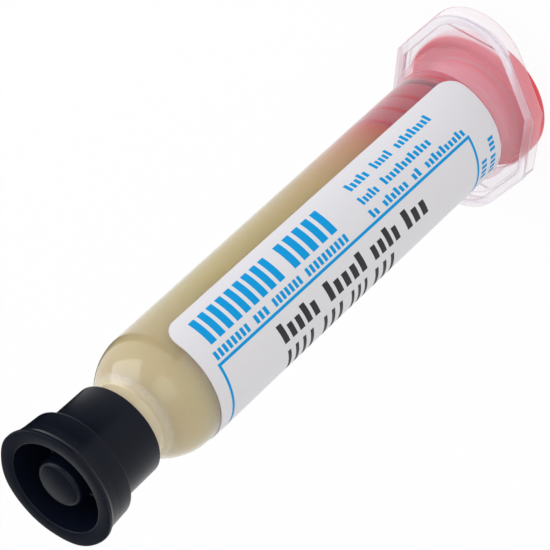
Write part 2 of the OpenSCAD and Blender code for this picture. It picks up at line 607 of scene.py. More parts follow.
# Flux wets the bore, so that the light isn't bent there, and the paste shows right up to the wall
TOUCHED_FINISH = NaturalPolypropylene(
    "natural_polypropylene_wetted", "EEE6FC", roughness=0.32, body=0.18, clear=0.2, skin=0.0
)
# The end cap lies flat on the flange's rear face, and its red comes through almost whole
REAR_FINISH = replace(TOUCHED_FINISH, name="natural_polypropylene_flange_rear", colour="FAF4FF", body=0.05)
# The flange is thick, and scatters more light than the wall: its faces look bluer and less clear
FLANGE_FACE_FINISH = NaturalPolypropylene(
    "natural_polypropylene_flange_face", "FCF6FF", roughness=0.3, body=0.8, clear=0.75
)
# Light that goes round inside the flange comes out through its sides again, so they are lighter
FLANGE_SIDE_FINISH = replace(
    FLANGE_FACE_FINISH, name="natural_polypropylene_flange_side", colour="FCF1FB", body=0.3, clear=0.3
)
# The rounded edges bend the white of the floor away. Their thin grey lines are painted shade: these faces
# take a greyer colour than the rest of the flange
FLANGE_EDGE_PAINTED_SHADE_FINISH = replace(
    FLANGE_FACE_FINISH, name="natural_polypropylene_flange_edge_painted_shade", colour="D8D0D8", body=0.75, clear=0.4
)
# Rosin in a solvent gel, filled under vacuum: a smooth tan body that light wanders through, with the piston's
# red painted in near it
PASTE_FINISH = RosinPaste(
    "rosin_flux_paste", "DDCB86", roughness=0.45, ior=1.5, mottle=0.06, mottle_size=16.0,
    grain_size=4.0, grain_depth=0.02, glow=1.0, depth=9.0, sheen=0.1,
)
# Polyethylene dyed red, out of a finely blasted mould: an even satin red with soft edges
RED_FINISH = WaxyPlastic(
    "red_polyethylene_moulded", "EC4A58", roughness=0.42, mottle=0.05, mottle_size=5.0,
    grain_size=0.4, grain_depth=0.006, glow=0.25, depth=0.6,
)
# The flux wets the piston too, which takes its gloss away and deepens its red
PISTON_FINISH = replace(RED_FINISH, name="red_polyethylene_wetted", colour="DE2636", sheen=0.1)
# Polyethylene filled with carbon black, out of the same kind of mould: a bluish black with a dim sheen
BLACK_FINISH = WaxyPlastic(
    "black_polyethylene_moulded", "0B101D", roughness=0.3, mottle=0.2, mottle_size=3.0,
    grain_size=0.35, grain_depth=0.008, glow=0.0, sheen=0.13,
)
# Paper coated and rolled smooth: a cool, even white with hardly any gloss
PAPER_FINISH = CoatedPaper(
    "coated_label_paper", "DCDADD", roughness=0.4, ior=1.45, mottle=0.025, mottle_size=10.0,
    grain_depth=0.006,
)
# Inks printed thinly on the coating: sharp, matt and uneven within a stroke, one cyan and one dark grey
BLUE_INK = OffsetInk("blue_offset_ink", "0496D6", mottle=0.06)
DARK_INK = OffsetInk("dark_offset_ink", "37383B", mottle=0.15)


@cache
def material_of(finish: Finish) -> bpy.types.Material:
    """Returns the material of a finish, built on its first use."""
    return new_material(finish.name, finish.surface)


# Meshes


@dataclass(frozen=True)
class Corner:
    """A corner of a section through the axis: its radius, its height and its rounding."""

    r: float
    z: float
    soft: float = 0.0


def arc(radius: float, centre_z: float, start: float, end: float, steps: int = 24) -> list[Corner]:
    """Lays corners along an arc about a point of the axis.

    Args:
        radius: the arc's radius.
        centre_z: height of its centre.
        start: angle above level at which it starts.
        end: angle above level at which it ends.
        steps: number of steps between the two.

    Returns:
        The corners, both ends included.
    """
    angles = [turn(start + (end - start) * i / steps) for i in range(steps + 1)]
    return [Corner(radius * math.cos(a), centre_z + radius * math.sin(a)) for a in angles]


def softened(corners: Sequence[Corner], closed: bool) -> list[tuple[float, float]]:
    """Rounds the corners of a section.

    Args:
        corners: the corners in order.
        closed: whether the last corner joins the first.

    Returns:
        Radius and height of each point: one for a sharp corner, ARC_POINTS for a rounded one.
    """
    points: list[tuple[float, float]] = []
    for i, corner in enumerate(corners):
        at_end = not closed and i in (0, len(corners) - 1)
        if corner.soft <= 0 or at_end:
            points.append((corner.r, corner.z))
            continue
        here = Vector((corner.r, corner.z))
        back = Vector((corners[i - 1].r, corners[i - 1].z)) - here
        nxt = corners[(i + 1) % len(corners)]
        ahead = Vector((nxt.r, nxt.z)) - here
        half = back.angle(ahead) / 2
        room = CORNER_SHARE * min(back.length, ahead.length)
        tangent = min(corner.soft / math.tan(half), room)
        centre = here + (back.normalized() + ahead.normalized()).normalized() * tangent / math.cos(half)
        first = here + back.normalized() * tangent - centre
        last = here + ahead.normalized() * tangent - centre
        for k in range(ARC_POINTS):
            point = centre + first.slerp(last, k / (ARC_POINTS - 1)) * first.length
            points.append((point.x, point.y))
    return points


def finish_mesh(name: str, vertices: list[Vector], faces: Faces) -> bpy.types.Object:
    """Makes a clean, smooth object of vertices in millimetres.

    Args:
        name: the object's name.
        vertices: its points.
        faces: corners of each face.

    Returns:
        The object, with coinciding points joined, faces turned outward and crisp folds marked.
    """
    mesh = bpy.data.meshes.new(name)
    mesh.from_pydata([v * MM for v in vertices], [], faces)
    shape = bmesh.new()
    shape.from_mesh(mesh)
    bmesh.ops.remove_doubles(shape, verts=shape.verts, dist=SAME_POINT * MM)
    bmesh.ops.dissolve_degenerate(shape, edges=shape.edges, dist=NO_EDGE * MM)
    bmesh.ops.recalc_face_normals(shape, faces=shape.faces)
    shape.to_mesh(mesh)
    shape.free()
    mesh.shade_smooth()
    mesh.set_sharp_from_angle(angle=turn(CRISP_FOLD))
    piece = bpy.data.objects.new(name, mesh)
    bpy.context.scene.collection.objects.link(piece)
    return piece


def turned(
    name: str, section: Callable[[float], list[Corner]], angles: Sequence[float], closed: bool
) -> bpy.types.Object:
    """Turns a section around the axis.

    Args:
        name: the object's name.
        section: gives the section's corners in a direction, always as many.
        angles: the directions, all round.
        closed: whether the section is a loop. An open one starts and ends on the axis.

    Returns:
        The closed shape.
    """
    vertices: list[Vector] = []
    for angle in angles:
        across = direction(angle)
        vertices += [across * r + Vector((0, 0, z)) for r, z in softened(section(angle), closed)]
    rows = len(vertices) // len(angles)
    faces: Faces = []
    for i in range(len(angles)):
        k = (i + 1) % len(angles)
        for j in range(rows if closed else rows - 1):
            m = (j + 1) % rows
            faces.append((i * rows + j, k * rows + j, k * rows + m, i * rows + m))
    return finish_mesh(name, vertices, faces)


def all_round(count: int) -> list[float]:
    """Returns evenly spread directions around the axis."""
    return [360 * i / count for i in range(count)]


def dress(
    piece: bpy.types.Object, finish: Finish, slot: Slot, body: Body | None, *stands_for: str
) -> None:
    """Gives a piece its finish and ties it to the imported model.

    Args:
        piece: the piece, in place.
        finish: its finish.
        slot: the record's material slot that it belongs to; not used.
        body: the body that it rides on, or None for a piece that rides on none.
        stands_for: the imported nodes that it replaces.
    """
    piece.data.materials.append(material_of(finish))
    if body is not None:
        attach(piece, body.value)
    if stands_for:
        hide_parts(*stands_for)
    log.info("%s: %d faces, %s", piece.name, len(piece.data.polygons), finish.name)


# The syringe


@dataclass(frozen=True)
class Reach:
    """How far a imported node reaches: half its length along X and Y, and its lowest and highest point."""

    half_x: float
    half_y: float
    low: float
    high: float


def reach_of(node: str) -> Reach:
    """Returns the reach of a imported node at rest."""
    low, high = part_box(node)
    return Reach(high.x / MM, high.y / MM, low.z / MM, high.z / MM)


@dataclass
class Barrel:
    """The barrel: flange, hub, tube, round nose, locking collar and nozzle, moulded in one.

    Attributes:
        outer_r, bore_r: outside and inside radius of the tube.
        hub_r, hub_len, hub_taper: the thicker hub in front of the flange and its cone.
        flange_t, rim_w, web_t: the flange's thickness, its raised rim and the web inside the rim.
        ear_r, side_angle: round end of each ear, and direction square on to the sloping sides.
        corner_keen: how sharply the sloping sides meet the flats.
        window_x, window_len, window_depth: the thinner window in each ear's web.
        collar_r, collar_bore_r, collar_h: the locking collar.
        nozzle_len, nozzle_tip_r, nozzle_taper: the nozzle, and its growth in radius towards its root.
        outlet_r: radius of the outlet.
        thread_lead, thread_starts, thread_h, thread_w: the locking thread inside the collar.
        thread_margin, thread_fade: where the thread ends inside the collar, and how it runs out there.
        thread_steps: points from one end of the thread to the other.
        directions: even directions in which the section is drawn.
        corner_step, window_step: angle between the finer ones at a flange's corner and a window's end.
        corner_fine, window_fine: how many of the finer ones lie on each side of it.
        edge_soft: how far outside the hub a face may first count as an edge of the flange.
        edge_rise: how far a face leans before it counts as part of a rounded edge.
    """

    outer_r: float = 9.3
    bore_r: float = 7.95
    hub_r: float = 10.3
    hub_len: float = 2.1
    hub_taper: float = 0.8
    flange_t: float = 2.9
    rim_w: float = 1.4
    web_t: float = 1.1
    ear_r: float = 8.4
    side_angle: float = 59.5
    corner_keen: float = 300.0
    window_x: float = 13.5
    window_len: float = 2.6
    window_depth: float = 0.4
    collar_r: float = 5.9
    collar_bore_r: float = 4.0
    collar_h: float = 5.1
    nozzle_len: float = 7.5
    nozzle_tip_r: float = 1.975
    nozzle_taper: float = 0.03
    outlet_r: float = 1.0
    thread_lead: float = 5.0
    thread_starts: int = 2
    thread_h: float = 0.26
    thread_w: float = 0.9
    thread_margin: float = 0.3
    thread_fade: float = 0.5
    thread_steps: int = 46
    directions: int = 180
    corner_step: float = 0.4
    window_step: float = 0.25
    corner_fine: int = 6
    window_fine: int = 2
    edge_soft: float = 0.5
    edge_rise: float = 0.06

    def __post_init__(self) -> None:
        """Takes the flange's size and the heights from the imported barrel."""
        reach = reach_of("barrel")
        self.rear_z = reach.low
        self.flange_z = self.rear_z + self.flange_t
        self.half_w = reach.half_y
        self.ear_x = reach.half_x - self.ear_r
        self.tip_z = reach.high
        self.nose_top_z = self.tip_z - self.nozzle_len
        self.nose_z = self.nose_top_z - self.outer_r
        self.collar_z = self.nose_top_z + self.collar_h

    def outline_r(self, angle: float, inset: float) -> float:
        """Finds the flange's outline in a direction.

        Args:
            angle: the direction.
            inset: how far the outline is drawn in all round.

        Returns:
            Its distance from the axis.
        """
        along, across = abs(math.cos(turn(angle))), abs(math.sin(turn(angle)))
        end_r = self.ear_r - inset
        side = turn(self.side_angle)
        touch = math.atan2(end_r * math.sin(side), self.ear_x + end_r * math.cos(side))
        if math.atan2(across, along) <= touch:
            return self.ear_x * along + math.sqrt(end_r**2 - (self.ear_x * across) ** 2)
        side_r = (self.ear_x * math.cos(side) + end_r) / math.cos(math.atan2(across, along) - side)
        flat_r = (self.half_w - inset) / across
        keen = self.corner_keen
        nearest = min(side_r, flat_r)
        return nearest * ((side_r / nearest) ** -keen + (flat_r / nearest) ** -keen) ** (-1 / keen)

    def angles(self) -> list[float]:
        """Lists the section's directions: even ones, and finer ones at the flange's and windows' corners.

        Returns:
            The directions in order, the finer ones alike in all four quarters.
        """
        side = turn(self.side_angle)
        corner_x = (self.ear_x * math.cos(side) + self.ear_r - self.half_w * math.sin(side)) / math.cos(side)
        corner = math.degrees(math.atan2(self.half_w, corner_x))
        extra = [corner + self.corner_step * i for i in range(-self.corner_fine, self.corner_fine + 1)]
        for x in (self.window_x, self.window_x + self.window_len):
            half = math.degrees(math.acos(min(1.0, x / self.outline_r(self.window_corner(x), self.rim_w))))
            extra += [half + self.window_step * i for i in range(-self.window_fine, self.window_fine + 1)]
        quarters = [base + flip * a for a in extra for base, flip in ((0, 1), (180, -1), (180, 1), (360, -1))]
        return sorted({round(a % 360, 2) for a in all_round(self.directions) + quarters})

    def window_corner(self, x: float) -> float:
        """Returns the direction in which a line square to the ear meets the rim's inner wall."""
        end_r = self.ear_r - self.rim_w
        return math.degrees(math.atan2(math.sqrt(end_r**2 - (x - self.ear_x) ** 2), x))

    def thread(self, angle: float) -> Iterator[Corner]:
        """Lays the collar's bore, with the locking thread's ridges.

        Args:
            angle: the direction.

        Yields:
            The corners, from the collar's mouth to its floor.
        """
        low, high = self.nose_top_z + self.thread_margin, self.collar_z - self.thread_margin
        pitch = self.thread_lead / self.thread_starts
        for i in range(self.thread_steps + 1):
            z = high + (low - high) * i / self.thread_steps
            turn_z = (z - self.thread_lead * angle / 360) % pitch
            aside = min(turn_z, pitch - turn_z)
            ridge = min(1.0, max(0.0, (self.thread_w / 2 - aside) / (self.thread_w / 4)))
            fade = min(1.0, (high - z) / self.thread_fade, (z - low) / self.thread_fade)
            yield Corner(self.collar_bore_r - self.thread_h * ridge * fade, z)

    def web(self, angle: float) -> list[Corner]:
        """Lays the web between the rim and the hub, with the ear's window.

        Args:
            angle: the direction.

        Returns:
            The corners, from the rim inwards, as many with a window as without.
        """
        soft, clearance = 0.25, 0.02
        nearly_none = 1e-6
        rim_r = self.outline_r(angle, self.rim_w)
        top, floor = self.rear_z + self.web_t, self.rear_z + self.web_t - self.window_depth
        along = max(nearly_none, abs(math.cos(turn(angle))))
        last = rim_r - soft - clearance
        near_r = min(last, self.window_x / along)
        far_r = min(last, (self.window_x + self.window_len) / along)
        in_window = near_r < last
        rim_z = floor if in_window and far_r >= last else top
        floor = floor if in_window else top
        return [
            Corner(rim_r, rim_z, soft),
            Corner(far_r, rim_z),
            Corner(far_r, floor),
            Corner(near_r, floor),
            Corner(near_r, top),
        ]

    def section(self, angle: float) -> list[Corner]:
        """Lays the barrel's section.

        Args:
            angle: the direction.

        Returns:
            The corners, from the bore's rear edge all the way round.
        """
        out_r, rim_r = self.outline_r(angle, 0), self.outline_r(angle, self.rim_w)
        rear_z = self.rear_z + REST_GAP
        hub_z = self.flange_z + self.hub_len
        # The nose's arc ends a degree short of the collar's root, which has its own rounding
        lean = math.degrees(math.acos(self.collar_r / self.outer_r))
        throat = math.degrees(math.acos(self.outlet_r / self.bore_r))
        root_r = self.nozzle_tip_r + self.nozzle_len * self.nozzle_taper
        return [
            Corner(self.bore_r, rear_z, 0.3),
            Corner(out_r, rear_z, 0.3),
            Corner(out_r, self.flange_z, 0.35),
            Corner(rim_r, self.flange_z, 0.25),
            *self.web(angle),
            Corner(self.hub_r, self.rear_z + self.web_t, 0.3),
            Corner(self.hub_r, hub_z, 0.2),
            Corner(self.outer_r, hub_z + self.hub_taper, 0.5),
            *arc(self.outer_r, self.nose_z, 0, lean - 1),
            Corner(self.collar_r, self.nose_z + self.outer_r * math.sin(turn(lean)), 0.15),
            Corner(self.collar_r, self.collar_z, 0.2),
            Corner(self.collar_bore_r, self.collar_z, 0.2),
            *self.thread(angle),
            Corner(self.collar_bore_r, self.nose_top_z, 0.2),
            Corner(root_r, self.nose_top_z, 0.2),
            Corner(self.nozzle_tip_r, self.tip_z, 0.15),
            Corner(self.outlet_r, self.tip_z, 0.1),
            *arc(self.bore_r, self.nose_z, throat, 0),
        ]

    def finish_at(self, face: bpy.types.MeshPolygon) -> Finish:
        """Picks the finish of one face of the shell.

        Args:
            face: the face.

        Returns:
            The finish. The steps around the windows count as edges, like the flange's rounded ones, and take
            their painted grey shade.
        """
        across, z = math.hypot(face.center.x, face.center.y) / MM, face.center.z / MM
        in_bore = math.hypot(across, max(0.0, z - self.nose_z)) < self.bore_r + WET
        if in_bore:
            return TOUCHED_FINISH
        at_rear = z < self.rear_z + 2 * REST_GAP
        if at_rear:
            return REAR_FINISH
        if z > self.flange_z + self.hub_len + self.hub_taper:
            return BARREL_FINISH
        rise = face.normal.z
        if rise > 1 - self.edge_rise:
            return FLANGE_FACE_FINISH
        is_step = z < self.rear_z + self.web_t
        if across > self.hub_r + self.edge_soft and (is_step or abs(rise) > self.edge_rise):
            return FLANGE_EDGE_PAINTED_SHADE_FINISH
        return FLANGE_SIDE_FINISH

    def build(self) -> None:
        """Builds the barrel and dresses it face by face."""
        shell = turned("barrel_shell", self.section, self.angles(), closed=True)
        dress(shell, BARREL_FINISH, Slot.BARREL, Body.BARREL, "barrel")
        finishes = (
            BARREL_FINISH,
            TOUCHED_FINISH,
            REAR_FINISH,
            FLANGE_FACE_FINISH,
            FLANGE_SIDE_FINISH,
            FLANGE_EDGE_PAINTED_SHADE_FINISH,
        )
        for finish in finishes[1:]:
            shell.data.materials.append(material_of(finish))
        for face in shell.data.polygons:
            face.material_index = finishes.index(self.finish_at(face))


@dataclass
class Piston:
    """The hollow piston, open to the rear, with sealing rings that press on the bore.

    Attributes:
        barrel: the barrel that it runs in.
        side_r, wall: radius of its side between the rings, and its wall.
        ring_t, ring_pitch, ring_count: its sealing rings.
        cone_h, tip_r: its cone and the flat at the cone's point.
        directions: directions in which its section is drawn.
    """

    barrel: Barrel
    side_r: float = 7.7
    wall: float = 1.8
    ring_t: float = 0.8
    ring_pitch: float = 3.4
    ring_count: int = 3
    cone_h: float = 4.7
    tip_r: float = 1.0
    directions: int = 144

    def section(self, _angle: float) -> list[Corner]:
        """Lays the piston's section, which is the same all round.

        Args:
            _angle: its direction, which makes no difference.

        Returns:
            The corners, from the cone's point over the rings to the hollow.
        """
        reach = reach_of("piston")
        base_z = reach.high - self.cone_h
        ring_r = self.barrel.bore_r + WET
        corners = [Corner(0, reach.high), Corner(self.tip_r, reach.high, 0.5)]
        for i in range(self.ring_count):
            top_z = base_z - i * self.ring_pitch
            corners += [
                Corner(self.side_r, top_z, 0.1),
                Corner(ring_r, top_z, 0.2),
                Corner(ring_r, top_z - self.ring_t, 0.2),
                Corner(self.side_r, top_z - self.ring_t, 0.3),
            ]
        inner_r = self.side_r - self.wall
        return [
            *corners,
            Corner(self.side_r, reach.low, 0.3),
            Corner(inner_r, reach.low, 0.3),
            Corner(inner_r, base_z - self.wall - self.ring_t, 0.8),
            Corner(0, base_z - self.wall - self.ring_t),
        ]

    def build(self) -> None:
        """Builds the piston and dresses it."""
        body = turned("piston_body", self.section, all_round(self.directions), closed=False)
        dress(body, PISTON_FINISH, Slot.PISTON, Body.PISTON, "piston")


@dataclass
class FluxFill:
    """The paste in front of the piston, which wets the barrel's wall.

    Attributes:
        barrel: the barrel that it fills.
        piston: the piston behind it.
        piston_gap: air between the two.
        still_margin: how far below the round nose the paste's still part would start; not used.
        moving_margin: how far above the hollow its part that moves with the piston would end; not used.
        nose_steps: points along the round nose.
    """

    barrel: Barrel
    piston: Piston
    piston_gap: float = 0.2
    still_margin: float = 0.2
    moving_margin: float = 0.1
    nose_steps: int = 28

    def __post_init__(self) -> None:
        """Takes the paste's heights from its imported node."""
        reach = reach_of("flux_paste")
        self.rear_z = reach.low
        self.top_z = reach.high
        self.hollow_z = reach_of("piston").high + self.piston_gap

    def section(self, _angle: float) -> list[Corner]:
        """Lays the paste's section, which is the same all round.

        Args:
            _angle: its direction, which makes no difference.

        Returns:
            The corners, from the hollow over the piston's cone to the outlet.
        """
        wet_r = self.barrel.bore_r + WET
        throat_r = self.barrel.outlet_r + WET
        throat = math.degrees(math.acos(throat_r / wet_r))
        return [
            Corner(0, self.hollow_z),
            Corner(self.piston.tip_r, self.hollow_z),
            Corner(self.piston.side_r, self.rear_z),
            Corner(wet_r, self.rear_z, 0.1),
            *arc(wet_r, self.barrel.nose_z, 0, throat, self.nose_steps),
            Corner(throat_r, self.top_z, 0.2),
            Corner(0, self.top_z),
        ]

    def build(self) -> None:
        """Builds the paste, marks each point's distance from the piston, dresses it and fixes its place in
        its mesh.
        """
        fill = turned("flux_fill", self.section, all_round(self.piston.directions), closed=False)
        run = fill.data.attributes.new(PISTON_RUN, "FLOAT", "POINT")
        run.data.foreach_set("value", [v.co.z / MM - self.rear_z for v in fill.data.vertices])
        dress(fill, PASTE_FINISH, Slot.PASTE, None, "flux_paste")
        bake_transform(fill)


@dataclass
class EndCap:
    """The end cap: a round head with a cup-shaped plug, whose ribs press on the bore.

    Attributes:
        barrel: the barrel that it closes.
        edge: rounding of the head's edges.
        relief: depth of the plug's side below its ribs.
        rib_t: height of each rib.
        wall: the plug's wall and closed end.
        directions: directions in which its section is drawn.
    """

    barrel: Barrel
    edge: float = 0.5
    relief: float = 0.4
    rib_t: float = 0.9
    wall: float = 1.5
    directions: int = 180

    def section(self, _angle: float) -> list[Corner]:
        """Lays the end cap's section, which is the same all round.

        Args:
            _angle: its direction, which makes no difference.

        Returns:
            The corners, from the cup's floor over the head to the plug's end.
        """
        reach = reach_of("end_cap")
        head_r = reach.half_x
        rib_r = self.barrel.bore_r + WET
        plug_r = rib_r - self.relief
        cup_r = plug_r - self.wall
        head_z = self.barrel.rear_z - REST_GAP
        low_rib = self.barrel.rear_z + self.rib_t / 2
        high_rib = reach.high - self.rib_t * 3 / 2
        ribs = []
        for rib_z in (low_rib, high_rib):
            ribs += [
                Corner(plug_r, rib_z, 0.1),
                Corner(rib_r, rib_z, 0.2),
                Corner(rib_r, rib_z + self.rib_t, 0.2),
                Corner(plug_r, rib_z + self.rib_t, 0.1),
            ]
        return [
            Corner(0, reach.high - self.wall),
            Corner(cup_r, reach.high - self.wall, 0.6),
            Corner(cup_r, 0, 0.4),
            Corner(head_r, 0, self.edge),
            Corner(head_r, head_z, self.edge),
            Corner(plug_r, head_z, 0.1),
            *ribs,
            Corner(plug_r, reach.high, 0.4),
            Corner(0, reach.high),
        ]

    def build(self) -> None:
        """Builds the end cap and dresses it."""
        cap = turned("end_cap_body", self.section, all_round(self.directions), closed=False)
        dress(cap, RED_FINISH, Slot.END_CAP, Body.END_CAP, "end_cap")


@dataclass
class TipCap:
    """The tip cap: flared lip, grip and skirt, with a core in its recess that closes the nozzle.

    Attributes:
        barrel: the barrel whose nozzle it closes.
        lip_len, lip_t: length of the lip's flare, and thickness of its edge.
        lip_face_w, lip_face_drop: the lip's narrow face, and how far it falls outwards.
        lobes: the lip's slight waves, each as count, height and phase.
        tilt, tilt_angle: how far the soft lip is bent up, and the side on which it is.
        flare_out, flare_at: how far the flare stands out past the grip, at which share of its length.
        grip_r, grip_low_r, grip_len: the grip behind the lip.
        step_len: the step behind the grip.
        skirt_r, skirt_low_r, skirt_bore_r: the skirt.
        recess_r, recess_depth: the recess in the cap's face.
        recess_draft, recess_drop: how much narrower its floor is, and how far its edge lies in.
        core_r, core_setback, core_tail, core_edge: the core and the rounding of its face.
        web_t: the web between core and skirt.
        fit, tip_gap: clearance of the nozzle in its socket, around it and in front of its tip.
        directions: directions in which its section is drawn.
    """

    barrel: Barrel
    lip_len: float = 2.6
    lip_t: float = 0.5
    lip_face_w: float = 0.12
    lip_face_drop: float = 0.06
    lobes: tuple[tuple[int, float, float], ...] = ((3, 0.05, 20.0), (5, 0.05, 75.0), (8, 0.04, 140.0))
    tilt: float = 0.2
    tilt_angle: float = 152.5
    flare_out: float = 0.22
    flare_at: float = 0.45
    grip_r: float = 8.75
    grip_low_r: float = 8.55
    grip_len: float = 5.4
    step_len: float = 0.6
    skirt_r: float = 7.3
    skirt_low_r: float = 7.2
    skirt_bore_r: float = 6.2
    recess_r: float = 7.15
    recess_depth: float = 6.9
    recess_draft: float = 0.1
    recess_drop: float = 0.05
    core_r: float = 3.63
    core_setback: float = 0.6
    core_tail: float = 4.4
    core_edge: float = 0.75
    web_t: float = 1.2
    fit: float = 0.05
    tip_gap: float = 0.1
    directions: int = 240

    def wave(self, angle: float) -> float:
        """Returns how far the lip's edge stands out or in, in a direction."""
        return sum(h * math.cos(turn(n * angle + phase)) for n, h, phase in self.lobes)

    def section(self, angle: float) -> list[Corner]:
        """Lays the tip cap's section.

        Args:
            angle: the direction.

        Returns:
            The corners, from the core's face over the lip and the skirt to the socket.
        """
        reach = reach_of("tip_cap")
        lip_z = reach.high
        face_z = lip_z - self.core_setback
        web_z = lip_z - self.recess_depth
        under_z = web_z - self.web_t
        tail_z = under_z - self.core_tail
        lip_r = reach.half_x + self.wave(angle)
        front_z = lip_z + self.tilt * math.cos(turn(angle - self.tilt_angle))
        socket_r = self.barrel.nozzle_tip_r + self.fit
        socket_z = self.barrel.tip_z + self.tip_gap
        mouth_r = socket_r + (socket_z - tail_z) * self.barrel.nozzle_taper
        return [
            Corner(0, face_z),
            Corner(self.core_r, face_z, self.core_edge),
            Corner(self.core_r, web_z, 0.4),
            Corner(self.recess_r - self.recess_draft, web_z, 0.5),
            Corner(self.recess_r, front_z - self.recess_drop, 0.2),
            Corner(lip_r - self.lip_face_w, front_z, 0.08),
            Corner(lip_r, front_z - self.lip_face_drop, 0.03),
            Corner(lip_r, front_z - self.lip_t, 0.05),
            Corner(self.grip_r + self.flare_out, lip_z - self.flare_at * self.lip_len, 0.9),
            Corner(self.grip_r, lip_z - self.lip_len, 0.9),
            Corner(self.grip_low_r, lip_z - self.grip_len, 0.25),
            Corner(self.skirt_r, lip_z - self.grip_len - self.step_len, 0.25),
            Corner(self.skirt_low_r, reach.low, 0.3),
            Corner(self.skirt_bore_r, reach.low, 0.15),
            Corner(self.skirt_bore_r, under_z, 0.3),
            Corner(self.core_r, under_z, 0.3),
            Corner(self.core_r, tail_z, 0.4),
            Corner(mouth_r, tail_z, 0.2),
            Corner(socket_r, socket_z),
            Corner(0, socket_z),
        ]

    def build(self) -> None:
        """Builds the tip cap and dresses it."""
        cap = turned("tip_cap_body", self.section, all_round(self.directions), closed=False)
        dress(cap, BLACK_FINISH, Slot.TIP_CAP, Body.TIP_CAP, "tip_cap")


@dataclass(frozen=True)
class PrintRow:
    """A row of plain blocks that stands for a line of print.

    Attributes:
        words: where each word starts and ends, in the direction of reading.
        head, foot: where the blocks' upper and lower ends lie.
        pitch: distance from one block to the next.
        share: share of the pitch that a block fills.
        rises: the blocks' heights as shares of the row's, taken in turn.
        lean: how far a block's head is ahead of its foot.
        around: whether the row reads around the barrel, in degrees, instead of along it in millimetres.
    """

    words: tuple[tuple[float, float], ...]
    head: float
    foot: float
    pitch: float
    share: float = 0.62
    rises: tuple[float, ...] = (1.0,)
    lean: float = 0.0
    around: bool = False

    def blocks(self) -> Iterator[tuple[float, float, float, float, float]]:
        """Lays the row's blocks.

        Yields:
            Each block's start and end at its foot, its foot, its head, and how far the head is ahead.
        """
        count = 0
        for start, end in self.words:
            way = 1 if end > start else -1
            in_word = max(1, round(abs(end - start) / self.pitch))
            step = (end - start) / in_word
            for i in range(in_word):
                first = start + i * step
                rise = self.rises[count % len(self.rises)]
                head = self.foot + (self.head - self.foot) * rise
                yield first, first + step * self.share, self.foot, head, way * self.lean * rise
                count += 1


# Heights of a row's blocks as shares of the row's, by turns that don't look like a pattern
TALL_AND_SHORT = (1.0, 0.74, 0.74, 1.0, 0.74, 1.0, 0.74, 0.74, 0.74)

# The rows that read along the barrel have heights as their words, and directions as head and foot. In
# those that read around it the two are the other way round
TITLE_ROWS = (
    PrintRow(((71.8, 54.9), (53.4, 43.0)), head=-3.2, foot=-29.2, pitch=1.95, share=0.64),
    PrintRow(((72.6, 65.0), (63.9, 60.8), (59.8, 53.4), (52.4, 42.9)), head=-34.8, foot=-42.4, pitch=0.98),
)
NOTE_ROWS = tuple(
    PrintRow(words, head, foot, pitch, rises=TALL_AND_SHORT, lean=-0.25)
    for words, head, foot, pitch in (
        (((37.3, 32.6), (31.4, 27.2), (26.0, 17.8)), -4.5, -12.8, 0.88),
        (((37.5, 33.4), (32.2, 21.0)), -20.5, -28.6, 0.9),
        (((37.5, 35.6), (34.5, 28.8), (27.6, 25.6), (24.4, 15.0)), -34.6, -42.6, 0.9),
    )
)
TYPE_ROWS = (
    PrintRow(
        ((61.0, 52.4), (50.6, 41.4), (40.2, 33.6), (32.4, 26.8)), head=-55.0, foot=-75.0, pitch=1.75,
        rises=TALL_AND_SHORT, lean=-0.7,
    ),
    PrintRow(
        ((60.0, 53.2), (51.8, 46.4), (45.4, 40.8), (39.8, 34.2)), head=-84.0, foot=-112.0, pitch=1.6,
        share=0.4, lean=-0.7,
    ),
)
SIDE_ROWS = (
    PrintRow(((-60.0, -76.0), (-79.0, -102.0)), head=12.0, foot=10.8, pitch=5.5, around=True),
    PrintRow(((-76.0, -99.0),), head=14.2, foot=13.0, pitch=5.5, around=True),
)


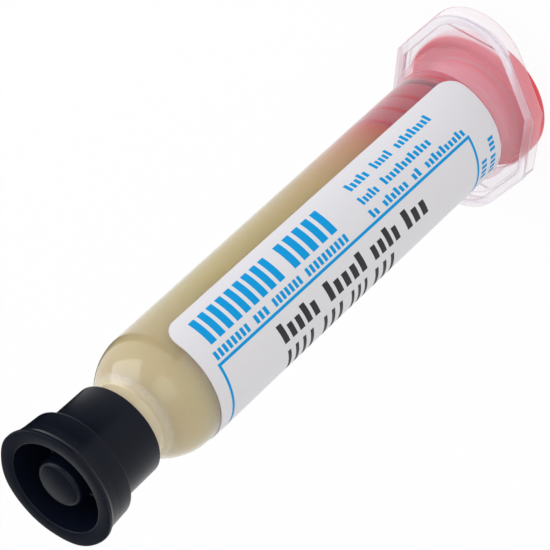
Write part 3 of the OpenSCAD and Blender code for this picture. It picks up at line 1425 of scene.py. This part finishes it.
@dataclass
class Label:
    """The wrapped paper label, set a little askew, and the plain blocks and lines printed on it.

    Attributes:
        barrel: the barrel that it is wrapped around.
        gap, paper_t: air under the sheet, and its thickness.
        corner_r: rounding of its corners.
        edge: direction of its first edge, halfway up.
        cover: angle that it covers.
        skew: how far it runs askew, for each millimetre of height.
        ink_t: height of the ink over the sheet.
        frame_side, frame_far: directions of the printed frame's two long lines.
        frame_low, frame_high: heights of its two ends.
        line_w: width of its lines.
        columns_across, corner_columns: columns of the sheet between its corners, and in each corner.
        rows: rows of the sheet.
        bend: largest angle that one flat stretch of ink spans.
    """

    barrel: Barrel
    gap: float = 0.02
    paper_t: float = 0.12
    corner_r: float = 2.9
    edge: float = 8.4
    cover: float = 290.0
    skew: float = 0.046
    ink_t: float = 0.016
    frame_side: float = -47.5
    frame_far: float = -214.0
    frame_low: float = 14.9
    frame_high: float = 73.05
    line_w: float = 0.45
    columns_across: int = 140
    corner_columns: int = 8
    rows: int = 12
    bend: float = 3.0

    def __post_init__(self) -> None:
        """Takes the sheet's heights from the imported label."""
        reach = reach_of("label")
        self.low, self.high = reach.low, reach.high
        self.inner_r = self.barrel.outer_r + self.gap
        self.outer_r = self.inner_r + self.paper_t

    def place(self, angle: float, z: float, r: float) -> Vector:
        """Finds a point of the askew label.

        Args:
            angle: its direction, as it would be halfway up.
            z: its height.
            r: its radius.

        Returns:
            The point.
        """
        askew = turn(angle + self.skew * (z - (self.low + self.high) / 2))
        return Vector((r * math.cos(askew), r * math.sin(askew), z))

    def degrees(self, length: float) -> float:
        """Returns the angle that a length on the sheet's outside spans."""
        return math.degrees(length / self.outer_r)

    def columns(self) -> Iterator[tuple[float, float]]:
        """Lays the sheet's columns, close together in its rounded corners.

        Yields:
            Each one's direction, and how far its ends are drawn in.
        """
        fine, coarse = self.corner_columns, self.columns_across
        corner = self.degrees(self.corner_r)
        inset = [corner * (1 - math.cos(turn(90 * i / fine))) for i in range(fine + 1)]
        middle = [corner + (self.cover - 2 * corner) * i / coarse for i in range(1, coarse)]
        for past in inset + middle + [self.cover - s for s in reversed(inset)]:
            side = min(past, self.cover - past, corner) / corner
            drawn_in = self.corner_r * (1 - math.sqrt(max(0.0, 1 - (1 - side) ** 2)))
            yield self.edge - past, drawn_in

    def sheet(self) -> bpy.types.Object:
        """Builds the paper sheet, column by column: up its outside and down its inside.

        Returns:
            The sheet.
        """
        rows = self.rows
        vertices: list[Vector] = []
        columns = list(self.columns())
        for angle, drawn_in in columns:
            low, high = self.low + drawn_in, self.high - drawn_in
            heights = [low + (high - low) * i / rows for i in range(rows + 1)]
            vertices += [self.place(angle, z, self.outer_r) for z in heights]
            vertices += [self.place(angle, z, self.inner_r) for z in reversed(heights)]
        loop = 2 * (rows + 1)
        faces: Faces = []
        for i in range(len(columns) - 1):
            for j in range(loop):
                m = (j + 1) % loop
                faces.append((i * loop + j, (i + 1) * loop + j, (i + 1) * loop + m, i * loop + m))
        last = (len(columns) - 1) * loop
        for j in range(rows):
            faces.append((j, j + 1, loop - 2 - j, loop - 1 - j))
            faces.append((last + j, last + loop - 1 - j, last + loop - 2 - j, last + j + 1))
        return finish_mesh("label_sheet", vertices, faces)

    def patch(
        self, vertices: list[Vector], faces: Faces, foot: Sequence[float], head: Sequence[float]
    ) -> None:
        """Adds one thin block of ink.

        Args:
            vertices: the points so far, which the block's own join.
            faces: the faces so far, which the block's own join.
            foot: the block's one end around the barrel: its direction and its two heights.
            head: its other end, in the same form.
        """
        low_r, high_r = self.outer_r - self.ink_t, self.outer_r + self.ink_t
        steps = max(1, math.ceil(abs(head[0] - foot[0]) / self.bend))
        first = len(vertices)
        for i in range(steps + 1):
            angle, z0, z1 = (a + (b - a) * i / steps for a, b in zip(foot, head))
            vertices += [
                self.place(angle, z0, high_r),
                self.place(angle, z1, high_r),
                self.place(angle, z1, low_r),
                self.place(angle, z0, low_r),
            ]
        for i in range(steps):
            for j in range(4):
                a, b = first + 4 * i + j, first + 4 * i + (j + 1) % 4
                faces.append((a, b, b + 4, a + 4))
        end = first + 4 * steps
        faces.append((first + 3, first + 2, first + 1, first))
        faces.append((end, end + 1, end + 2, end + 3))

    def printed(self, name: str, rows: Sequence[PrintRow], ink: Finish) -> None:
        """Builds rows of blocks in one ink and dresses them.

        Args:
            name: the piece's name.
            rows: the rows.
            ink: their finish.
        """
        vertices: list[Vector] = []
        faces: Faces = []
        for row in rows:
            for start, end, foot, head, lead in row.blocks():
                if row.around:
                    self.patch(vertices, faces, (start, foot, head), (end, foot, head))
                else:
                    self.patch(vertices, faces, (foot, start, end), (head, start + lead, end + lead))
        dress(finish_mesh(name, vertices, faces), ink, Slot.LABEL, Body.BARREL)

    def printed_frame(self) -> None:
        """Builds the thin frame that runs round to the label's far side."""
        vertices: list[Vector] = []
        faces: Faces = []
        width = self.degrees(self.line_w)
        for side in (self.frame_side, self.frame_far):
            ends = (self.frame_low, self.frame_high)
            self.patch(vertices, faces, (side, *ends), (side + width, *ends))
        for z in (self.frame_low, self.frame_high - self.line_w):
            across = (z, z + self.line_w)
            self.patch(vertices, faces, (self.frame_far + width, *across), (self.frame_side, *across))
        dress(finish_mesh("print_frame", vertices, faces), BLUE_INK, Slot.LABEL, Body.BARREL)

    def build(self) -> None:
        """Builds the sheet and its print, and dresses them."""
        dress(self.sheet(), PAPER_FINISH, Slot.LABEL, Body.BARREL, "label")
        self.printed_frame()
        self.printed("print_title", TITLE_ROWS, BLUE_INK)
        self.printed("print_notes", NOTE_ROWS, BLUE_INK)
        self.printed("print_type", TYPE_ROWS, DARK_INK)
        self.printed("print_side_notes", SIDE_ROWS, BLUE_INK)


# Studio

WHITE = "FFFFFF"
# The kinds of ray that see the floor and the surroundings as plain white, as Blender names them
WHITE_RAYS = ("Is Camera Ray", "Is Transmission Ray", "Is Glossy Ray")


@dataclass(frozen=True)
class SoftBox:
    """A softbox that faces the syringe.

    Attributes:
        name: its name.
        azimuth, elevation: direction from the syringe to it.
        distance: distance from the syringe to it.
        width, height: its size.
        radiance: how bright it looks, where 1 is a white sheet in plain light.
        tint: its colour.
    """

    name: str
    azimuth: float
    elevation: float
    distance: float
    width: float
    height: float
    radiance: float
    tint: str = WHITE

    def build(self, aim: Vector) -> None:
        """Builds the lamp.

        Args:
            aim: the point that it faces.
        """
        lamp = bpy.data.lights.new(self.name, "AREA")
        lamp.shape = "RECTANGLE"
        lamp.size = self.width * MM
        lamp.size_y = self.height * MM
        lamp.color = linear(self.tint)[:3]
        lamp.energy = self.radiance * math.pi * lamp.size * lamp.size_y
        box = bpy.data.objects.new(self.name, lamp)
        way = direction(self.azimuth, self.elevation)
        box.location = aim + way * self.distance * MM
        box.rotation_euler = way.to_track_quat("Z", "Y").to_euler()
        box.visible_camera = False
        bpy.context.scene.collection.objects.link(box)
        log.info("%s: softbox %.0f by %.0f mm", self.name, self.width, self.height)


@dataclass(frozen=True)
class Flag:
    """A black card that keeps white out of the reflections on one side. Nothing else sees it.

    Attributes:
        name: its name.
        start, end: directions from the axis between which it spans.
        near, far: distances of its two edges from the axis.
        near_z, far_z: heights of those edges.
        steps: flat stretches from its start to its end.
    """

    name: str
    start: float
    end: float
    near: float
    far: float
    near_z: float
    far_z: float
    steps: int = 16

    def surface(self, tree: Tree) -> Socket:
        """Adds black that light through the barrel passes by.

        Args:
            tree: the material's node tree.

        Returns:
            The shader's output.
        """
        path = add_node(tree, "ShaderNodeLightPath")
        black = add_node(tree, "ShaderNodeEmission", {"Strength": 0.0})
        away = add_node(tree, "ShaderNodeBsdfTransparent")
        mixed = add_node(
            tree,
            "ShaderNodeMixShader",
            links={
                0: path.outputs["Is Transmission Ray"],
                1: black.outputs["Emission"],
                2: away.outputs["BSDF"],
            },
        )
        return mixed.outputs["Shader"]

    def build(self) -> None:
        """Builds the card."""
        vertices: list[Vector] = []
        for i in range(self.steps + 1):
            across = direction(self.start + (self.end - self.start) * i / self.steps)
            vertices.append(across * self.near + Vector((0, 0, self.near_z)))
            vertices.append(across * self.far + Vector((0, 0, self.far_z)))
        faces = [(2 * i, 2 * i + 1, 2 * i + 3, 2 * i + 2) for i in range(self.steps)]
        card = finish_mesh(self.name, vertices, faces)
        card.data.materials.append(new_material(self.name, self.surface))
        card.visible_camera = False
        card.visible_diffuse = False
        card.visible_shadow = False


@dataclass(frozen=True)
class Viewpoint:
    """The camera's place in the photograph, found from the circles of the cap and the barrel.

    Attributes:
        location: where it stands.
        azimuth, elevation: the direction that it looks in.
        roll: how far it is turned about that direction.
        lens, sensor: its focal length, and the width of its sensor.
        clip_near, clip_far: distances between which it sees.
    """

    location: tuple[float, float, float] = (329.471, -170.335, 306.268)
    azimuth: float = 152.5
    elevation: float = -34.6362
    roll: float = 132.6808
    lens: float = 211.583
    sensor: float = 36.0
    clip_near: float = 10.0
    clip_far: float = 10000.0

    def build(self) -> None:
        """Builds the camera and makes it the scene's."""
        camera = bpy.data.cameras.new("studio_camera")
        camera.lens = self.lens
        camera.sensor_width = self.sensor
        camera.clip_start = self.clip_near * MM
        camera.clip_end = self.clip_far * MM
        look = direction(self.azimuth, self.elevation)
        side = look.cross(Vector((0, 0, 1))).normalized()
        top = side.cross(look)
        up = top * math.cos(turn(self.roll)) + side * math.sin(turn(self.roll))
        right = look.cross(up)
        stand = bpy.data.objects.new("studio_camera", camera)
        facing = Matrix((right, up, -look)).transposed().to_4x4()
        stand.matrix_world = Matrix.Translation(Vector(self.location) * MM) @ facing
        bpy.context.scene.collection.objects.link(stand)
        bpy.context.scene.camera = stand
        log.info("camera: %.1f mm lens", self.lens)


@dataclass
class Studio:
    """A white floor and surroundings, with soft plain light.

    Attributes:
        floor_size: side of the square floor.
        floor_drop: how far it lies under the end cap, so that the two faces don't coincide.
        board: colour of the floor in the light.
        ambient: strength of the light that comes evenly from all round.
        shadow: share of the floor's own shading that shows under its plain white.
        aim: the point that the softboxes face.
        boxes: the softboxes.
        flags: the black cards: a cone under the tip cap, a flat ring outside it and a wall behind the cap.
    """

    floor_size: float = 3000.0
    floor_drop: float = 0.05
    board: str = "F2F2F2"
    ambient: float = 0.8
    shadow: float = 0.06
    aim: tuple[float, float, float] = (0.0, 0.0, 55.0)
    boxes: tuple[SoftBox, ...] = (
        SoftBox(
            "key", azimuth=60.0, elevation=30.0, distance=600.0, width=620.0, height=400.0, radiance=2.3,
            tint="F4F7FF",
        ),
        SoftBox(
            "fill", azimuth=-30.0, elevation=30.0, distance=900.0, width=700.0, height=500.0, radiance=0.9,
        ),
    )
    flags: tuple[Flag, ...] = (
        Flag("near_flag", start=-10.0, end=165.0, near=30.0, far=118.0, near_z=69.9, far_z=9.2),
        Flag("low_flag", start=-10.0, end=165.0, near=130.0, far=220.0, near_z=1.0, far_z=1.0),
        Flag("rear_flag", start=107.5, end=197.5, near=40.0, far=40.0, near_z=117.0, far_z=160.0),
    )

    def sees_white(self, tree: Tree) -> Socket:
        """Adds what tells the rays that see plain white from the rest.

        Args:
            tree: the node tree that needs it.

        Returns:
            1 for a ray from the camera, in a reflection or through the barrel, else 0.
        """
        path = add_node(tree, "ShaderNodeLightPath")
        found = path.outputs[WHITE_RAYS[0]]
        for kind in WHITE_RAYS[1:]:
            either = add_node(
                tree, "ShaderNodeMath", {"operation": "MAXIMUM"}, {0: found, 1: path.outputs[kind]}
            )
            found = either.outputs[0]
        return found

    def surroundings(self) -> None:
        """Builds the world: plain white to the camera, in reflections and through the barrel."""
        world = bpy.data.worlds.new("white_surroundings")
        world.use_nodes = True
        tree = world.node_tree
        tree.nodes.clear()
        strength = add_node(
            tree,
            "ShaderNodeMapRange",
            {"To Min": self.ambient, "To Max": 1.0},
            {"Value": self.sees_white(tree)},
        )
        sky = add_node(
            tree, "ShaderNodeBackground", {"Color": linear(WHITE)}, {"Strength": strength.outputs["Result"]}
        )
        add_node(tree, "ShaderNodeOutputWorld", links={"Surface": sky.outputs["Background"]})
        bpy.context.scene.world = world

    def floor_surface(self, tree: Tree) -> Socket:
        """Adds white board: plain white to the camera but for a faint shadow, matt white to light.

        Args:
            tree: the material's node tree.

        Returns:
            The shader's output.
        """
        board = add_node(tree, "ShaderNodeBsdfDiffuse", {"Color": linear(self.board)})
        white = add_node(tree, "ShaderNodeEmission", {"Color": linear(WHITE), "Strength": 1.0})
        share = add_node(
            tree,
            "ShaderNodeMath",
            {"operation": "MULTIPLY", 1: 1 - self.shadow},
            {0: self.sees_white(tree)},
        )
        mixed = add_node(
            tree,
            "ShaderNodeMixShader",
            links={0: share.outputs[0], 1: board.outputs["BSDF"], 2: white.outputs["Emission"]},
        )
        return mixed.outputs["Shader"]

    def floor(self) -> None:
        """Builds the floor."""
        half = self.floor_size / 2
        plan = ((-half, -half), (half, -half), (half, half), (-half, half))
        corners = [Vector((x, y, -self.floor_drop)) for x, y in plan]
        ground = finish_mesh("studio_floor", corners, [(0, 1, 2, 3)])
        ground.data.materials.append(new_material("white_board", self.floor_surface))

    def build(self) -> None:
        """Builds the floor, the surroundings, the lamps and the camera."""
        self.surroundings()
        self.floor()
        for box in self.boxes:
            box.build(Vector(self.aim) * MM)
        for flag in self.flags:
            flag.build()
        Viewpoint().build()
        bpy.context.scene.view_settings.view_transform = "Standard"


def main() -> None:
    """Builds the studio and the syringe, piece by piece."""
    logging.basicConfig(level=logging.INFO, format="%(message)s")
    log.info("packed nodes: %s", ", ".join(sorted(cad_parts)))
    Studio().build()
    barrel = Barrel()
    piston = Piston(barrel)
    pieces = (barrel, piston, FluxFill(barrel, piston), EndCap(barrel), TipCap(barrel), Label(barrel))
    for piece in pieces:
        piece.build()


if __name__ == "__main__":
    main()
